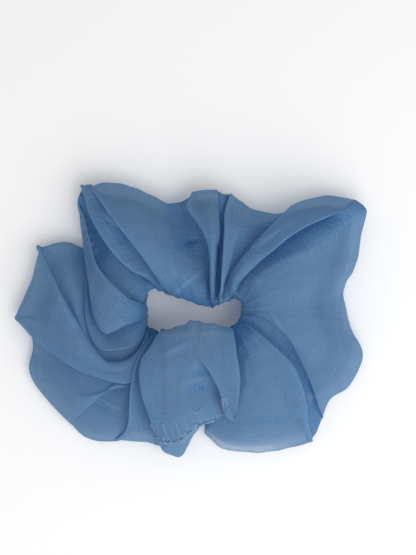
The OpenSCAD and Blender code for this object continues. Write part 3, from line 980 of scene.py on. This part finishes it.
def elastic_pieces(ring):
    """The elastic loop with its lapped ends, and the zigzag that holds the lap."""
    path, out = elastic_path(ring)
    band = flat_band("flat_elastic", path, out, closed=True)
    angle = np.degrees(np.arctan2(path[:, 1], path[:, 0])) % 360
    start = np.argmin(np.abs(angle - LAP_AT))
    count = int(LAP_LENGTH / ELASTIC_STEP)
    chosen = (start + np.arange(-count // 2, count // 2)) % len(path)
    lap_path = path[chosen] + out[chosen] * (ELASTIC_THICK * 1.02)
    lap = flat_band("elastic_lap", lap_path, out[chosen], closed=False)
    zigzag = lap_zigzag(lap_path, out[chosen])
    elastic_look = braided_elastic()
    for piece in (band, lap):
        piece.data.materials.append(elastic_look)
    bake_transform(band)
    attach(lap, BACK)
    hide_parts("elastic_band")
    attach(zigzag, BACK)
    zigzag.data.materials.append(sewing_thread("white_thread", (0.62, 0.64, 0.66)))
    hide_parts("elastic_lap_stitching")


SEAM_PITCH, SEAM_COVER = 2.8, 0.8
SEAM_INSIDE = 1.1              # the long seam's stitches lie this far inside the cover
CLOSING_PITCH, CLOSING_COVER = 3.4, 0.72
CLOSING_LIFT = 0.12
OVERLOCK_PITCH, OVERLOCK_RADIUS, OVERLOCK_REACH = 3.0, 0.16, 0.6


def long_seam(cloth):
    """The stitches of the long seam, where it runs underneath."""
    line = cloth[:, TURNED_ROWS] - outward(cloth, False)[:, TURNED_ROWS] * SEAM_INSIDE
    underneath = loop_of(SEAM_PLACE) > 15
    order = np.roll(np.arange(COLUMNS), -int(np.argmin(underneath)))
    return thread_piece("long_seam_stitches", dashes(line[order[underneath[order]]], SEAM_PITCH, SEAM_COVER))


def overlock(cloth):
    """Thread looped over the two raw edges of the allowance."""
    edge = 0.5 * (cloth[:, 0] + cloth[:, -1])
    inner = 0.5 * (cloth[:, 2] + cloth[:, -3])
    away = outward(cloth, False)[:, 1] * OVERLOCK_REACH
    marks = spaced(np.vstack([edge, edge[:1]]), OVERLOCK_PITCH)
    points = []
    for k in np.linspace(0, COLUMNS, len(marks), endpoint=False).astype(int):
        points += [edge[k], inner[k] + away[k], edge[k], inner[k] - away[k]]
    path = smoothed(np.repeat(np.array(points), 3, axis=0), len(points) * 0.9)
    return thread_piece("overlock_thread", [tube(path, OVERLOCK_RADIUS, 5, closed=True)])


def closing_seam(cloth):
    """Two rows of topstitches where the seam lies on top, on the front puff."""
    first = per_rib(0, (FRONT_PUFF, 1)).index(1)
    on_top = (COLUMN_PLACES > RIB_KNOTS[first + 1]) & (COLUMN_PLACES < RIB_KNOTS[first + 6])
    rows_of_stitches = []
    for row in (TURNED_ROWS + 1, -TURNED_ROWS - 2):
        line = (cloth[:, row] + outward(cloth, False)[:, row] * CLOSING_LIFT)[on_top]
        rows_of_stitches += dashes(line, CLOSING_PITCH, CLOSING_COVER)
    return thread_piece("closing_stitches", rows_of_stitches)


def blue_threads(cloth):
    """The threads of the long seam, of the overlocked allowance and of the closing seam."""
    blue_thread = sewing_thread("blue_thread", (0.36, 0.54, 0.72))
    for piece, nodes in ((long_seam(cloth), ("long_seam_stitching_back", "long_seam_stitching_front")),
                         (overlock(cloth), ("overlock_thread_back", "overlock_thread_front"))):
        piece.data.materials.append(blue_thread)
        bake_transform(piece)
        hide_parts(*nodes)
    closing = closing_seam(cloth)
    closing.data.materials.append(blue_thread)
    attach(closing, FRONT)
    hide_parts("closing_seam_stitching")


# ------------ table, light and camera

TABLE_HALF = 2.0
CAMERA_PLACE, CAMERA_LENS = (0.0068, 0.0187, 0.7), 86.3
LAMP_PLACE, LAMP_WATTS, LAMP_SIZE = (0.42, -0.52, 0.80), 8, 1.1
SKY_STRENGTH = 0.62


def table_top():
    """A plain pale table."""
    mesh = bpy.data.meshes.new("table")
    corners = ((-1, -1), (1, -1), (1, 1), (-1, 1))
    mesh.from_pydata([(x * TABLE_HALF, y * TABLE_HALF, TABLE_Z * MM) for x, y in corners], [], [(0, 1, 2, 3)])
    table = bpy.data.objects.new("table", mesh)
    bpy.context.scene.collection.objects.link(table)
    material, tree, shader = new_material("pale_table")
    feed(tree, shader, {"Base Color": (0.95, 0.95, 0.955, 1), "Roughness": 0.6})
    mesh.materials.append(material)


def studio():
    """A camera straight above, an even white sky and one large soft lamp at the front right."""
    lens = bpy.data.cameras.new("camera")
    lens.lens = CAMERA_LENS
    camera = bpy.data.objects.new("camera", lens)
    camera.location = CAMERA_PLACE
    bpy.context.scene.collection.objects.link(camera)
    bpy.context.scene.camera = camera
    sky = bpy.data.worlds.new("studio")
    sky.use_nodes = True
    feed(sky.node_tree, sky.node_tree.nodes["Background"], {"Color": (1, 1, 1, 1), "Strength": SKY_STRENGTH})
    bpy.context.scene.world = sky
    lamp = bpy.data.lights.new("key", "AREA")
    lamp.energy = LAMP_WATTS
    lamp.size = LAMP_SIZE
    key = bpy.data.objects.new("key", lamp)
    key.location = LAMP_PLACE
    key.rotation_euler = (-Vector(LAMP_PLACE)).to_track_quat("-Z", "Y").to_euler()
    bpy.context.scene.collection.objects.link(key)
    bpy.context.scene.view_settings.view_transform = "Standard"


# ------------ scene

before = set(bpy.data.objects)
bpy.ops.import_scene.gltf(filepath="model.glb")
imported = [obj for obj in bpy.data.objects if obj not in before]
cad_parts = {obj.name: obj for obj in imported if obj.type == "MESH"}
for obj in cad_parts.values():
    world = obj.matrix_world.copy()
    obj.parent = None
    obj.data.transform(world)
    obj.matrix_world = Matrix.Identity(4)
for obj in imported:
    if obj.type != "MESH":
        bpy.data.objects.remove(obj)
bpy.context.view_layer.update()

ring = loop_of(SECTIONS)
cloth = cover_piece(ring)
elastic_pieces(ring)
blue_threads(cloth)
table_top()
studio()
